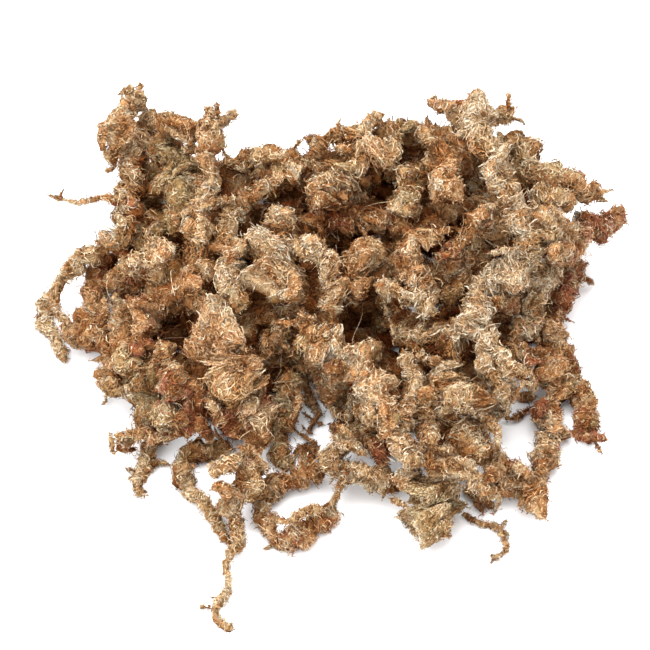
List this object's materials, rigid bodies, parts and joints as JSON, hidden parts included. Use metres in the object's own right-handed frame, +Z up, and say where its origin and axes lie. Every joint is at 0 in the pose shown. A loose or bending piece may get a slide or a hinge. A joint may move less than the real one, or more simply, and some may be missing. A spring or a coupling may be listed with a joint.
{
  "type": "dried moss clump",
  "caption": "Loose tangled clump of dried long-fibre moss, heaped on a flat surface, with curled strands and thin tails round its edge.",
  "frame": {"origin": "middle of the clump's box, on the surface it rests on", "axes": "+Z up, +Y away from the side that the picture looks from, +X to that view's right"},
  "size_m": [0.1654, 0.1716, 0.0528],
  "materials": {
    "cream": "dry, matt, fibrous",
    "straw": "dry, matt, fibrous",
    "tan": "dry, matt, fibrous",
    "peach": "dry, matt, fibrous",
    "ochre": "dry, matt, fibrous",
    "olive": "dry, matt, fibrous",
    "rust": "dry, matt, fibrous",
    "umber": "dry, matt, fibrous"
  },
  "bodies": {
    "root": {"bed_back": "umber", "bed_back_middle": "umber", "bed_middle": "umber", "bed_front": "umber", "bed_front_left": "umber", "bed_front_right": "umber", "bed_left": "olive", "bed_cross_left": "umber", "bed_cross": "umber", "bed_cross_right": "umber", "bed_right": "tan", "bed_back_top": "umber", "shade_strand": "olive", "under_arch_strand": "umber", "left_rust_strand": "rust", "left_strand": "straw", "left_low_strand": "rust", "left_twig": "straw", "crown_left": "straw", "ochre_strand": "olive", "lower_left_strand": "olive", "arrow_strand": "rust", "right_outer_strand": "rust", "right_strand": "peach", "bottom_right_curl": "tan", "thin_tail": "straw", "crown_prongs": "peach", "back_left_strand": "tan", "top_horizontal_strand": "tan", "nest_core": "olive", "nest_top_strand": "tan", "nest_right_strand": "peach", "middle_left_strand": "rust", "left_band": "tan", "rust_finger": "rust", "rust_bar": "rust", "top_arch": "olive", "upper_middle_strand": "tan", "fan": "olive", "right_arm": "peach", "round_tuft": "peach", "crown_column": "cream", "long_diagonal": "straw", "centre_left_column": "ochre", "centre_mass": "tan", "centre_low_strand": "tan", "tan_curl": "tan", "pale_right_leg": "cream", "pale_main_strand": "cream", "low_band": "straw", "bottom_tuft": "straw", "pale_wing": "cream", "centre_orange_tuft": "peach", "hook_strand": "peach", "centre_tuft": "cream", "centre_shoulder": "straw", "pale_fold": "cream", "golden_arch": "ochre", "great_strand": "peach", "tail_strand": "straw"}
  },
  "joints": []
}
